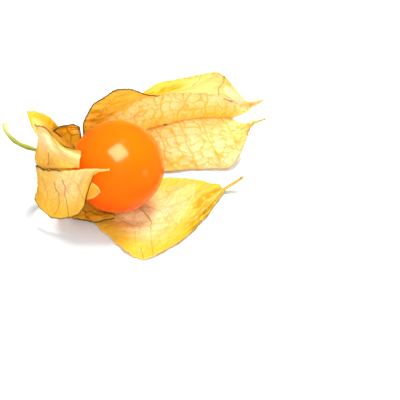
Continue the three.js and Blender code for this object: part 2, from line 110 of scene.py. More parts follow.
# Each lobe:
# ribs: from one torn edge to the other, each with its turn on the ring round the stalk and its points to the
#     tip; reach: how far the lobe goes along each rib; puff: the swell of each web;
# fold and veins: the depth and number of the quilted fields between side veins;
# lines: how strongly each rib shows;
# rim: how dark the edge is along the first rib, along the last and across the end, each as before, after and
#     the place along the lobe where it changes;
# brown: how brown the root is, and for how many millimetres, at places across; this brown is partly the
#     husk's own darker root and partly painted shade on the lobes that lie in shadow;
# tip: how brown the lobe is from one place along it on, painted shade where it covers a whole shaded piece;
# stains, paler patches and bare places: patches that are browner, paler and free of veins, each as amount,
#     place along and across, and half length and half breadth in the same units; some brown patches are
#     painted shade, and the front's paler patch is painted light where the fruit's shadow falls;
# cream, veined and combed: how pale, how netted and how fibrous the sheet is at places across;
# crease: the height of a crease across it, and its place; torn: how ragged the first and the last edge are;
# ridges and marks: folds with a painted highlight along their crests, and long dark veins, as half their
#     width and places along and across;
# inside: how much the face along the sheet's normal and the one behind it are the lobe's inner face;
# rows and columns: the grid, over the whole length and over each web; seed: what its noise starts from.
LOBES = {
    "back": dict(
        ribs=[
            (255, (-3, 10.5, -7), (0, 11.5, -9.3), (5, 11, -10.3), (9.5, 10.8, -10.3), (14, 11.5, -10.3),
             (18.5, 11.8, -10.3), (23.5, 12.2, -9.8), (26.2, 16, -6.3), (27.8, 18.6, -4), (30.7, 20, -3.3)),
            (295, (-3.5, 12, -4.5), (0, 15, -5), (4, 17.3, -4.8), (8.5, 18.2, -3.8), (13, 18.5, -2.6),
             (17.5, 18.5, -1.9), (21.5, 18.8, -1.9), (25.5, 19.2, -2.5), (28, 20.4, -2.3), (30.4, 21, -2.2)),
            (330, (-5, 11, 0.4), (-2, 13, 2.4), (2.5, 15.5, 3.9), (7.5, 18.7, 6.6), (12.5, 20.5, 7),
             (17, 21, 7.7), (21.3, 21, 7.8), (26, 21.5, 0.8), (28, 21.9, -0.2), (30.3, 22.2, -0.1)),
            (5, (-7.3, 9.2, 4.6), (-4, 10, 9.7), (1.1, 11, 12), (6.9, 12.5, 8.4), (10.5, 15.5, 7),
             (15.5, 17, 5.8), (20.5, 18, 4.3), (24, 19.5, 1), (27.3, 21.3, 0.2), (30.2, 21.9, 0.3)),
        ],
        reach=(1, 0.75, 1, 1), puff=(-0.1, -0.08, -0.08), fold=0.3, veins=9, lines=(1, 1, 0.1, 0),
        rim=((0.25, 0.25, 0.5), (1, 0.15, 0.44), (0.1, 0.1, 0.5)),
        # Painted shade: the strong brown across the third web darkens the hood's inner face as if in shadow;
        # the flap on that web shares it.
        brown_and_shade=((0, 0.5, 5), (0.98, 0, 5), (1, 0.65, 48), (1.25, 0.4, 40), (1.5, 0.1, 30), (1.97, 0, 20),
               (2.06, 0.9, 44), (3, 0.92, 44)),
        tip=(0.3, 0.95),
        stains_and_shade=((1, 0.45, 2.65, 0.17, 0.52), (0.7, 0.42, 0.05, 0.14, 0.3), (0.55, 0.58, 2.45, 0.13, 0.5),
                (1.05, 0.15, 2.65, 0.055, 0.35)),
        cream_patches_and_painted_light=((0.6, 0.64, 2.65, 0.15, 0.55), (0.2, 0.85, 2.65, 0.12, 0.55), (-0.55, 0.88, 0.45, 0.16, 0.85)),
        cream=((0, 0.8), (1, 0.8), (1.05, 0.2), (1.5, 0.6), (2, 0.35), (3, 0)),
        veined=((0, 1), (2.02, 1), (2.12, 0.5), (3, 0.5)), bare=((0.9, 0.79, 2.1, 0.09, 0.65),),
        combed=((0, 0.8), (1.5, 0.8), (1.8, 0.1)), torn=(0.25, 1),
        marks=((0.12, (0.712, 1.97), (0.713, 2.3), (0.7, 2.62), (0.702, 2.93)),
               (0.12, (0.7, 2.93), (0.716, 2.99), (0.747, 2.97), (0.76, 2.93), (0.775, 2.79), (0.79, 2.42)),
               (0.07, (0.705, 2.85), (0.75, 2.8), (0.79, 2.72)), (0.07, (0.6, 2.02), (0.6, 2.3), (0.58, 2.6)),
               (0.1, (0.165, 2.52), (0.222, 2.65), (0.267, 2.76), (0.31, 2.72)),
               (0.08, (0.202, 2.5), (0.253, 2.54), (0.302, 2.49)),
               (0.07, (0.272, 2.64), (0.298, 2.78), (0.33, 2.93)),
               (0.12, (0.232, 2.22), (0.212, 2.24), (0.195, 2.27), (0.165, 2.3), (0.145, 2.42)),
               (0.07, (0.265, 2.28), (0.295, 2.2), (0.318, 2.05)), (0.2, (0.555, 1), (0.567, 1.02))),
        rows=258, columns=58, seed=3),
    "front": dict(
        ribs=[
            (225, (-2, 7.8, -7.6), (1.5, 7, -9.2), (5, 6.5, -9.6), (9.5, 7.5, -9), (15.6, 7.3, -9.3),
             (20, 6.3, -9.8), (22.5, 5.2, -9.8), (25.9, 6, -7.3)),
            (207, (-3, 5, -8.6), (0, 3, -9.9), (4, 0.5, -10.3), (9.5, -1, -9.8), (15.5, 1.2, -8.7),
             (19.5, 3, -9.3), (22.4, 5, -9.8), (25.8, 5.8, -7.4)),
            (190, (-4, 3, -9.1), (-1.5, -1, -10.3), (1, -5.2, -8.9), (7, -8.5, -10), (12.4, -6.8, -8.9),
             (18, -2.5, -10), (22.1, 4.6, -9.9), (25.7, 5.6, -7.5)),
            (172, (-6.2, 2.5, -9), (-5.7, -4.5, -10.3), (0.5, -13.2, -10.3), (4.7, -17.2, -10.3),
             (9.8, -14.4, -10.3), (15.2, -8.2, -10.3), (20.2, 2.5, -10.3), (25.6, 5.4, -7.6)),
        ],
        reach=(1, 1, 1, 1), puff=(0.05, 0.05, 0.03), fold=0.3, veins=7, lines=(0, 0, 0, 0),
        rim=((0.2, 0.2, 0.5), (0.2, 0.2, 0.5), (0.2, 0.2, 0.5)),
        # Painted shade: brown and less cream towards the last rib darken the left edge as if in the fruit's
        # shadow.
        brown_and_shade=((0, 0.7, 24), (0.35, 0.6, 24), (0.6, 0.4, 7), (2.1, 0.3, 6), (2.5, 0.6, 26), (3, 0.9, 30)),
        tip=(0.7, 0.63), crease=(0.5, 0.625), inside=(1, 0),
        stains_and_shade=((1, 0.79, 2.2, 0.2, 0.9), (0.9, 0.77, 0.95, 0.15, 0.6), (1, 0.705, 1.4, 0.085, 0.75)),
        # Painted light: this paler patch lifts the lobe where the fruit's shadow falls on it.
        cream_patches_and_painted_light=((0.3, 0.44, 1.5, 0.09, 0.8),),
        cream=((0, -0.25), (0.65, 0), (1.3, 0.25), (2.1, 0.15), (2.6, -0.25), (3, -0.5)),
        veined=((0, 0.65), (2.4, 0.65), (3, 0.5)),
        # Painted highlight: the ridge along the crease is drawn pale on its crest.
        ridges=((0.2, (0.625, 0.35), (0.622, 0.82), (0.622, 1.2), (0.628, 1.575), (0.625, 1.84),
                 (0.62, 2.05)),),
        marks=((0.12, (0.39, 1.25), (0.43, 1.47), (0.458, 1.575), (0.482, 1.73), (0.493, 2), (0.528, 2.49),
                (0.562, 2.93)),
               (0.08, (0.345, 2.15), (0.385, 2.16), (0.427, 2.19), (0.445, 2.42), (0.452, 2.6)),
               (0.08, (0.482, 2.68), (0.5, 2.8), (0.517, 2.97)),
               (0.06, (0.62, 2.05), (0.617, 2.375), (0.612, 2.675), (0.617, 2.9)),
               (0.07, (0.505, 1.03), (0.568, 1.67), (0.62, 2.08)),
               (0.08, (0.502, 0.55), (0.562, 0.56), (0.62, 0.3)),
               (0.13, (0.58, 2.98), (0.66, 2.985), (0.77, 2.985)), (0.2, (0.985, 1.4), (0.99, 1.6))),
        rows=210, columns=50, seed=5),
    "floor": dict(
        ribs=[
            (180, (-5.5, 2, -9), (-3, -1.5, -9.8), (0.2, -5.3, -9.4)),
            (165, (-6.6, 2.5, -9), (-6.8, -2, -9.8), (-5, -6.4, -9.7)),
            (145, (-9.3, 3, -8.2), (-11, 0, -9.8), (-9.4, -4.6, -10)),
        ],
        reach=(1, 1, 1), puff=(0.04, 0.04), fold=0.1, veins=3, lines=(0, 0, 0),
        # Painted shade: brown at the root and over the whole piece, with less cream, darkens it as if in the
        # fruit's shadow.
        rim=((0.9, 0.9, 0.5), (0.9, 0.9, 0.5), (0.9, 0.9, 0.5)), brown_and_shade=((0, 0.5, 9),), tip=(0.35, 0),
        cream=((0, -0.2),), veined=((0, 0.8),),
        marks=((0.16, (0.72, 1.7), (0.7, 1.3), (0.76, 1.1), (0.74, 0.8), (0.87, 0.6), (0.86, 0.3)),
               (0.12, (0.76, 1.1), (0.88, 1.2), (0.97, 1.1)), (0.1, (0.6, 1.2), (0.7, 1.3))),
        rows=80, columns=36, seed=7),
    "left": dict(
        ribs=[
            (135, (-11, 4, -7.5), (-15, 1, -8), (-17.2, -3, -6.1), (-14, -6.5, -7.8), (-10, -8, -7),
             (-7, -8.9, -4.2), (-5.2, -9.5, 2.9), (-3.8, -8.7, 5.6), (-1.3, -8.3, 5.8)),
            (118, (-11.8, 4.6, -5.8), (-15.6, 2, -5), (-16.4, -1.7, -2.4), (-14.6, -5.9, -3.3),
             (-11.6, -7.3, -2.2), (-8.3, -8.3, 0.5), (-5.7, -8.8, 4.3), (-3.8, -8.4, 5.8), (-1.3, -8.3, 5.9)),
            (100, (-12, 5, -4), (-15.5, 3, -2), (-16.5, -0.5, 0.8), (-14.5, -3, 2), (-12.5, -4.5, 3),
             (-9.5, -6.3, 4.3), (-6.2, -7.7, 5.7), (-3.8, -8.1, 6), (-1.3, -8.3, 6)),
        ],
        reach=(1, 1, 1), puff=(0, 0), fold=0.2, veins=7, lines=(0, 0, 0),
        rim=((1, 0.15, 0.86), (1, 0.1, 0.62), (0.2, 0.2, 0.5)),
        brown_and_shade=((0, 0.75, 26), (0.8, 0.55, 24), (1.5, 0.4, 12), (2, 0.3, 8)),
        stains_and_shade=((0.65, 0.42, 1.8, 0.12, 0.45),), cream_patches_and_painted_light=((0.4, 0.66, 1.2, 0.13, 0.7),),
        cream=((0, -0.35), (1, -0.2), (2, 0.15)), veined=((0, 0.55),),
        # Painted highlight: the ridge along this fold is drawn pale on its crest.
        ridges=((0.28, (0.36, 2), (0.407, 1.82), (0.465, 1.69), (0.52, 1.58), (0.56, 1.45)),),
        marks=((0.1, (0.53, 1.6), (0.535, 1.3), (0.548, 1.07), (0.53, 0.65), (0.483, 0.225)),
               (0.11, (0.6, 1.62), (0.6, 1.3), (0.595, 1), (0.58, 0.5), (0.557, 0.01)),
               (0.09, (0.68, 1.4), (0.69, 1.05), (0.697, 0.73), (0.702, 0.25)),
               (0.07, (0.4, 1.65), (0.43, 1.4), (0.46, 1.12), (0.423, 0.42)),
               (0.06, (0.535, 1.3), (0.5, 1.05), (0.47, 0.6)), (0.06, (0.6, 1.3), (0.63, 1), (0.64, 0.55))),
        rows=220, columns=40, seed=9),
    "curl": dict(
        ribs=[
            (150, (-9.6, 3, -6.4), (-11, -2.5, -5.5), (-8.6, -6.8, -3.6), (-5.2, -8.9, -1.2),
             (-3.2, -9.75, 1.4)),
            (140, (-10.2, 3.4, -5.2), (-11.2, -2, -3.2), (-9.2, -5.6, -0.6), (-7, -7.6, 1), (-5, -8.7, 2.7)),
        ],
        reach=(1, 1), puff=(0.1,), fold=0.1, veins=4, lines=(0, 0),
        rim=((0.6, 0, 0.8), (0.6, 0, 0.8), (0, 0, 0.5)), brown_and_shade=((0, 0.5, 9),), tip=(0.3, 0),
        cream=((0, -0.4),), veined=((0, 0.3),),
        rows=110, columns=24, seed=15),
    "upper": dict(
        ribs=[
            (80, (-11.8, 5.5, -2.5), (-16.4, 4, 0), (-17.1, 1.4, 0.6), (-15.6, -1.2, 0.3), (-13.2, -2.9, 1.7),
             (-10.3, -5, 3.6), (-7.5, -5.8, 4.4)),
            (68, (-12.1, 6.2, 1.5), (-15, 5.2, 4.2), (-16, 3.4, 5.4), (-15.4, 1.6, 4.2), (-13.7, -0.2, 4.9),
             (-10.7, -3, 5.2), (-7.4, -4.7, 5.8)),
            (55, (-12.5, 7, 5.5), (-15, 6.5, 8.8), (-18.4, 5.8, 10), (-16.9, 4.6, 7.6), (-14.6, 2.9, 8),
             (-11.2, -1, 6.7), (-7.2, -3.3, 7)),
        ],
        reach=(1, 1, 1), puff=(0, 0), fold=0.15, veins=5, lines=(0, 0, 0),
        rim=((0.6, 0.3, 0.8), (0.25, 0.8, 0.45), (0.1, 0.1, 0.5)),
        # Painted shade: the strong brown towards the last rib, with less cream there, darkens the inner face
        # at the top as if in shadow.
        brown_and_shade=((0, 0.65, 18), (0.8, 0.55, 18), (1.15, 0.3, 8), (1.5, 0.3, 8), (1.7, 0.9, 16), (2, 0.95, 16)),
        stains_and_shade=((0.95, 0.16, 1.75, 0.14, 0.6),),
        cream_patches_and_painted_light=((0.6, 0.64, 1.7, 0.14, 0.5), (0.35, 0.39, 1.85, 0.1, 0.35)),
        cream=((0, -0.35), (0.7, -0.1), (1.2, 0.3), (1.55, 0.35), (1.7, -0.3), (2, -0.4)),
        veined=((0, 0.25),), combed=((0, 0.5),),
        marks=((0.1, (0.71, 0.8), (0.69, 0.5), (0.658, 0.2)),),
        rows=180, columns=36, seed=11),
    "strip": dict(
        ribs=[
            (45, (-9.5, 7, -0.5), (-11.8, 6.5, 2.5), (-13.3, 5, 5.3)),
            (20, (-7.6, 8.5, 0.5), (-7.9, 8.8, 3), (-8, 7.3, 4.9)),
        ],
        reach=(1, 1), puff=(-0.15,), fold=0.1, veins=3, lines=(0, 0),
        # Painted shade: brown at the root, over the whole strip and in two strong patches makes this inner
        # face look shaded.
        rim=((1, 1, 0.5), (1, 1, 0.5), (1, 1, 0.5)), brown_and_shade=((0, 0.6, 8),), tip=(0.4, 0),
        stains_and_shade=((1, 0.95, 0.5, 0.22, 0.6), (1, 0.3, 0.95, 0.25, 0.3)), cream_patches_and_painted_light=((0.6, 0.6, 0.75, 0.12, 0.15),),
        cream=((0, 0),), veined=((0, 1),),
        marks=((0.16, (0.98, 0.05), (0.93, 0.3), (0.88, 0.55), (0.8, 0.85), (0.6, 0.97)),
               (0.12, (0.67, 0.1), (0.72, 0.4), (0.86, 0.5)), (0.12, (0.72, 0.4), (0.55, 0.5), (0.5, 0.8)),
               (0.1, (0.45, 0.2), (0.55, 0.5)), (0.1, (0.72, 0.4), (0.7, 0.7), (0.66, 0.95))),
        rows=80, columns=36, seed=13),
}

# What a lobe has where it says nothing else.
PLAIN = dict(tip=(0, 0.5), crease=(0, 0.5), torn=(1, 1), combed=((0, 0.3),), stains_and_shade=(), cream_patches_and_painted_light=(), bare=(),
             ridges=(), marks=(), inside=(0.0, 1.0))


# ---- Curves, noise and cells ----

def spline(points, u):
    """Catmull-Rom curve through points at u, 0 to 1: each span is a cubic whose end slopes are half the step
    between its neighbours, and the missing neighbour at each end is the mirrored next point."""
    p = np.asarray(points, float)
    p = np.vstack([2 * p[0] - p[1], p, 2 * p[-1] - p[-2]])
    spans = len(p) - 3
    x = np.clip(u, 0, 1) * spans
    i = np.minimum(x.astype(int), spans - 1)
    t = (x - i)[..., None]
    a, b, c, d = p[i], p[i + 1], p[i + 2], p[i + 3]
    return 0.5 * (2 * b + (c - a) * t + (2 * a - 5 * b + 4 * c - d) * t**2 + (3 * (b - c) + d - a) * t**3)


def bell(x, width):
    """The bell curve: 1 at 0, and 1/e at a width from it."""
    return np.exp(-((x / width) ** 2))


def step(u, place, over):
    """A soft step from 0 to 1 at a place: the logistic curve, most of it within twice over on either side."""
    return 1 / (1 + np.exp(-(u - place) / over))


def ripple(seed, *axes, waves=7, pitch=1.0):
    """Smooth noise of about -1 to 1: sine waves in random directions, about one swing per pitch, added and
    evened out for their number."""
    draw = np.random.default_rng(seed)
    total = 0.0
    for _ in range(waves):
        way = draw.normal(size=len(axes))
        way *= 2 * np.pi / pitch * draw.uniform(0.6, 1.4) / np.linalg.norm(way)
        total = total + np.sin(sum(w * a for w, a in zip(way, axes)) + draw.uniform(0, 2 * np.pi))
    return total / np.sqrt(waves) * 1.2


def cells(x, y, seed, jitter=0.85):
    """Distance to the border of the irregular cells round one jittered seed per unit square, in those units:
    half of the distance to the second nearest seed less the distance to the nearest."""
    count = 64
    table = (np.random.default_rng(seed).random((count, count, 2)) - 0.5) * jitter + 0.5
    ix, iy = np.floor(x).astype(int), np.floor(y).astype(int)
    first = np.full(x.shape, 9.0)
    second = np.full(x.shape, 9.0)
    for dx in (-1, 0, 1):
        for dy in (-1, 0, 1):
            seeds = table[(ix + dx) % count, (iy + dy) % count]
            away = np.hypot(ix + dx + seeds[..., 0] - x, iy + dy + seeds[..., 1] - y)
            second = np.minimum(second, np.maximum(first, away))
            first = np.minimum(first, away)
    return (second - first) / 2


def unit(vectors):
    """The vectors scaled to length 1."""
    return vectors / np.maximum(np.linalg.norm(vectors, axis=-1, keepdims=True), 1e-12)


# ---- Meshes ----

def make_piece(name, points, faces, material, replaced, uv=None, masks=None):
    """A mesh in the frame's metres from points in millimetres round the fruit, riding on the one body."""
    mesh = bpy.data.meshes.new(name)
    faces = faces if isinstance(faces, list) else faces.tolist()
    mesh.from_pydata((points * MM + CENTRE).tolist(), [], faces)
    mesh.shade_smooth()
    if uv is not None:
        corner = np.empty(len(mesh.loops), dtype=np.int32)
        mesh.loops.foreach_get("vertex_index", corner)
        mesh.uv_layers.new(name="sheet").data.foreach_set("uv", uv[corner].astype(np.float32).ravel())
    for key, values in (masks or {}).items():
        mesh.attributes.new(key, "FLOAT", "POINT").data.foreach_set("value", values.astype(np.float32))
    mesh.materials.append(material)
    piece = bpy.data.objects.new(name, mesh)
    bpy.context.collection.objects.link(piece)
    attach(piece, "root")
    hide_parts(replaced)
    return piece


def grid_faces(rows, columns, start=0, flip=False):
    """The quads of a grid of rows by columns points, numbered along the columns first."""
    corner = (np.arange(rows - 1)[:, None] * columns + np.arange(columns - 1)[None, :]).ravel() + start
    quads = np.stack([corner, corner + 1, corner + columns + 1, corner + columns], 1)
    return quads[:, ::-1] if flip else quads


def closed_sheet_faces(rows, columns):
    """Two grids of points, the first facing along the sheet's normal and the second away, joined round the
    rim."""
    count = rows * columns
    rim = np.concatenate([
        np.arange(columns), np.arange(1, rows) * columns + columns - 1,
        (rows - 1) * columns + np.arange(columns - 2, -1, -1), np.arange(rows - 2, 0, -1) * columns,
    ])
    after = np.roll(rim, -1)
    walls = np.stack([after, rim, rim + count, after + count], 1)
    return np.vstack([grid_faces(rows, columns), grid_faces(rows, columns, count, True), walls])


def closed_tube_faces(rings, sides):
    """Rings of points joined in order, each end closed by triangles round its own centre point: the last two
    points of the mesh are the centres of the first ring and of the last."""
    i = np.arange(rings - 1)[:, None] * sides
    j = np.arange(sides)
    k = (j + 1) % sides
    quads = np.stack([i + j, i + sides + j, i + sides + k, i + k], -1).reshape(-1, 4)
    first, last, top = rings * sides, rings * sides + 1, (rings - 1) * sides
    caps = np.vstack([
        np.stack([np.full(sides, first), j, k], 1),
        np.stack([np.full(sides, last), top + k, top + j], 1),
    ])
    return quads.tolist() + caps.tolist()


# ---- The husk ----

def stalk_axes():
    """Unit vectors across the stalk: the way up and the way sideways of the ring that the ribs start from."""
    up = unit(np.array([0, 0, 1.0]) - BLOSSOM_END * BLOSSOM_END[2])
    return up, -unit(np.cross(up, BLOSSOM_END))


def ring_point(degrees):
    """The point of the ring round the stalk at that turn, against the stalk end of the fruit."""
    up, side = stalk_axes()
    turn = np.radians(degrees)
    return -BLOSSOM_END * SHELL_RADIUS + RING_RADIUS * (up * np.cos(turn) + side * np.sin(turn))


def side_phase(lobe, along, web, t):
    """Which side vein a place lies on: whole numbers are veins, slanting forward from every other rib."""
    return lobe["veins"] * along + SLANT * np.where(web % 2, 1 - t, t)


def lobe_surface(lobe, u, v):
    """The middle of a lobe at u along the ribs and v across them: straight webs between neighbouring ribs,
    swollen along their normal by puff times a half sine, and quilted between side veins that slant away
    from every other rib. The reach between two ribs goes straight from one to the other. Returns the
    points, the web, the place across it, its width and the place along the ribs."""
    nudge = 1e-4
    curves = [np.array([ring_point(turn), *points], float) for turn, *points in lobe["ribs"]]
    web = np.clip(np.floor(v).astype(int), 0, len(curves) - 2)
    t = v - web
    reaches = np.array(lobe["reach"], float)
    along = u * (reaches[web] * (1 - t) + reaches[web + 1] * t)
    stacked = np.stack([spline(curve, along) for curve in curves])
    ahead = np.stack([unit(spline(curve, along + nudge) - spline(curve, along - nudge)) for curve in curves])
    pick = web[None, ..., None]
    a, b = (np.take_along_axis(stacked, pick + k, 0)[0] for k in (0, 1))
    forward = sum(np.take_along_axis(ahead, pick + k, 0)[0] * w[..., None] for k, w in ((0, 1 - t), (1, t)))
    chord = b - a
    normal = unit(np.cross(chord, forward))
    width = np.linalg.norm(chord, axis=-1)
    bay = 1 - (1 - t) ** 3 - t ** 3
    quilt = np.sin(np.pi * side_phase(lobe, along, web, t)) ** 2
    swell = width * np.array(lobe["puff"])[web] * np.sin(np.pi * t)
    swell = swell + lobe["fold"] * quilt * bay * np.minimum(1, width / QUILT_WIDTH)
    return a + chord * t[..., None] + normal * swell[..., None], web, t, width, along


def grid_normals(points):
    """Unit normals of a grid of points, across the columns times along the rows."""
    along = np.gradient(points, axis=0)
    over = np.gradient(points, axis=1)
    return unit(np.cross(over, along))


def keep_clear(points):
    """The points moved straight out from the fruit where they are too near it, and up off the ground."""
    away = np.linalg.norm(points, axis=-1, keepdims=True)
    points = points * np.maximum(1, NEAREST / np.maximum(away, 1e-9))
    points[..., 2] = np.maximum(points[..., 2], LYING)
    return points


def from_lines(lobe, kind, points):
    """The distance of each point to the nearest of the lobe's marks or ridges, each a spline of places on the
    lobe, in half widths of that line and up to FAR_MARK."""
    nearest = np.full(points.shape[:-1], FAR_MARK)
    for half_width, *places in lobe[kind]:
        u, v = spline(places, np.linspace(0, 1, 60)).T
        for place in keep_clear(lobe_surface(lobe, u, v)[0]):
            nearest = np.minimum(nearest, np.linalg.norm(points - place, axis=-1) / half_width)
    return nearest


def patches(lobe, kind, u, v):
    """Each of the lobe's patches of that kind: its amount times e to minus the fourth power of the distance
    from its middle, where its half length along and its half breadth across count as 1."""
    return [amount * np.exp(-((((u - middle) / length) ** 2 + ((v - centre) / breadth) ** 2) ** 2))
            for amount, middle, centre, length, breadth in lobe[kind]]


def by_place(lobe, kind, v):
    """What the lobe says of that kind at places across it, straight from each place to the next."""
    return np.interp(v, *zip(*lobe[kind]))


def torn_places(lobe, u, v, webs):
    """The places across the lobe with its torn edges wandering: the outer columns of the grid are drawn in
    by the size of coarse and fine noise, and less at the root."""
    seed, share = lobe["seed"], v / webs
    edge = np.minimum(share, 1 - share)
    noise = np.abs(ripple(seed, u * 40, pitch=5)) + 0.4 * np.abs(ripple(seed + 6, u * 40, pitch=1.3))
    depth = TORN_DEPTH * webs * np.where(share < 0.5, *lobe["torn"])
    drawn_in = np.exp(-edge / TORN_REACH) * depth * noise * np.clip(u * 6, 0, 1)
    return np.clip(v + np.where(share < 0.5, 1, -1) * drawn_in, 0, webs)


def build_lobe(lobe):
    """One lobe as a closed sheet: points, faces, sheet coordinates and masks for its material. Distances in
    the masks are millimetres, so that lines stay thin between the points of the grid."""
    webs = len(lobe["ribs"]) - 1
    rows, columns = lobe["rows"] + 1, lobe["columns"] * webs + 1
    u, v = np.meshgrid(np.linspace(0, 1, rows), np.linspace(0, webs, columns), indexing="ij")
    seed = lobe["seed"]
    points, web, local, width, along = lobe_surface(lobe, u, torn_places(lobe, u, v, webs))
    points = keep_clear(points)
    mark, ridge_line = from_lines(lobe, "marks", points), from_lines(lobe, "ridges", points)
    # Sheet coordinates in millimetres: length along each line of the grid, and across it.
    s = np.cumsum(np.linalg.norm(np.diff(points, axis=0, prepend=points[:1]), axis=-1), axis=0)
    across = np.cumsum(np.linalg.norm(np.diff(points, axis=1, prepend=points[:, :1]), axis=-1), axis=1)
    t = across - across[:, -1:] / 2
    from_edges = np.stack([across, across[:, -1:] - across, s[-1:] - s])
    from_edge = np.min(from_edges, axis=0)
    # Lines: ribs, side veins, and a net of cells between them. A rib that doesn't show counts as far away.
    strength = np.array(lobe["lines"], float)
    before, after = local * width, (1 - local) * width
    rib = np.minimum(before + FAR * (strength[web] == 0), after + FAR * (strength[web + 1] == 0))
    rib_strength = np.where(before < after, strength[web], strength[web + 1])
    phase = side_phase(lobe, along, web, local) + 0.1 * ripple(seed + 1, s, t, pitch=6)
    side = np.abs(phase - np.round(phase)) * s[-1:] / lobe["veins"]
    warp = 0.16 * ripple(seed + 2, s, t, pitch=4) + CELL_CORNER
    net = cells(s / CELL_LENGTH + warp, t / CELL_WIDTH + warp, seed) * CELL_MEAN
    # Relief: fields swell between lines that stand out on both faces, and the sheet is a little crumpled.
    fade = np.clip((s - VEINS_FROM) / VEINS_OVER, 0, 1)
    soft = np.clip(from_edge / 1.5, 0.25, 1)
    veined = by_place(lobe, "veined", v) * (1 - sum(patches(lobe, "bare", u, v)))
    shown = 0.25 + 0.75 * veined
    field = np.minimum(np.minimum(net, side), 0.9) * soft
    pillow = FIELD_RISE * shown * field + CRUMPLE * ripple(seed + 3, s, t, pitch=CRUMPLE_PITCH)
    pillow = pillow + FINE_CRUMPLE * shown * ripple(seed + 5, s, t, pitch=FINE_PITCH)
    height, place = lobe["crease"]
    from_crease = np.abs(s - s[int(place * lobe["rows"])])
    crease = height * np.exp(-from_crease / CREASE_WIDTH) * np.clip(from_edge / 3, 0, 1)
    folded = bell(ridge_line, 1)
    rise = pillow * fade - crease + RIDGE_RISE * folded
    points = keep_clear(points + grid_normals(points) * rise[..., None])
    normal = grid_normals(points)
    at_rim = np.exp(-from_edge / RIM_WIDTH)
    ridge = 0.5 * RIB_RISE * rib_strength * bell(rib, RIB_WIDTH)
    ridge = ridge + VEIN_RISE * shown * fade * bell(np.minimum(side, net), VEIN_WIDTH)
    half_sheet = (SHEET / 2 * (1 - RIM_THINNING * at_rim) + ridge)[..., None]
    outside, inside = points + normal * half_sheet, points - normal * half_sheet
    for face in (outside, inside):
        face[..., 2] = np.maximum(face[..., 2], GROUND)
    # Masks: what each place of the sheet looks like.
    dark = np.stack([early + (late - early) * step(u, place, 0.015) for early, late, place in lobe["rim"]])
    rim = np.max(dark * np.exp(-from_edges / RIM_WIDTH), axis=0)
    # Brown at the root, from the tip place on and in stains: partly the husk's own colour, partly painted
    # shade on lobes that lie in shadow.
    tip, tip_from = lobe["tip"]
    places, roots, depths = zip(*lobe["brown_and_shade"])
    root = np.interp(v, places, roots) * bell(s, np.interp(v, places, depths))
    stains_and_shade = [root, tip * step(u, tip_from, 0.012), *patches(lobe, "stains_and_shade", u, v)]
    # The pale mask: paler thin torn rims, and a painted highlight along the crests of the ridges.
    pale_rim = at_rim * (1 - np.clip(rim * 3, 0, 1)) * (1 - rib_strength * bell(rib, 0.5))
    masks = {
        "rib": 1 - rib_strength * bell(rib, 0.27),
        "side": np.clip(side + 2 * (1 - fade), 0, 2),
        "net": np.clip(net + 2 * (1 - fade), 0, 2),
        "rim": rim,
        "pale_rim_and_highlight": np.maximum(pale_rim, folded),
        "mark": mark,
        "veined": veined,
        "combed": by_place(lobe, "combed", v),
        "cream": by_place(lobe, "cream", v) + sum(patches(lobe, "cream_patches_and_painted_light", u, v)),
        "brown_and_shade": np.max(stains_and_shade, axis=0),
    }
    both = {key: np.tile(values.ravel(), 2) for key, values in masks.items()}
    both["inner"] = np.repeat(lobe["inside"], rows * columns)
    uv = np.tile(np.stack([s.ravel(), t.ravel() + UV_SPAN / 2], 1) / UV_SPAN, (2, 1))
    cloud = np.vstack([outside.reshape(-1, 3), inside.reshape(-1, 3)])
    return cloud, closed_sheet_faces(rows, columns), uv, both


def build_husk(name, lobes, material):
    """Several lobes in one piece."""
    clouds, faces, uvs, masks, count = [], [], [], [], 0
    for lobe in lobes:
        cloud, quads, uv, both = build_lobe(PLAIN | LOBES[lobe])
        clouds.append(cloud)
        faces.append(quads + count)
        uvs.append(uv)
        masks.append(both)
        count += len(cloud)
    joined = {key: np.concatenate([both[key] for both in masks]) for key in masks[0]}
    points, faces, uv = np.vstack(clouds), np.vstack(faces), np.vstack(uvs)
    return make_piece(name, points, faces, material, "husk", uv, joined)


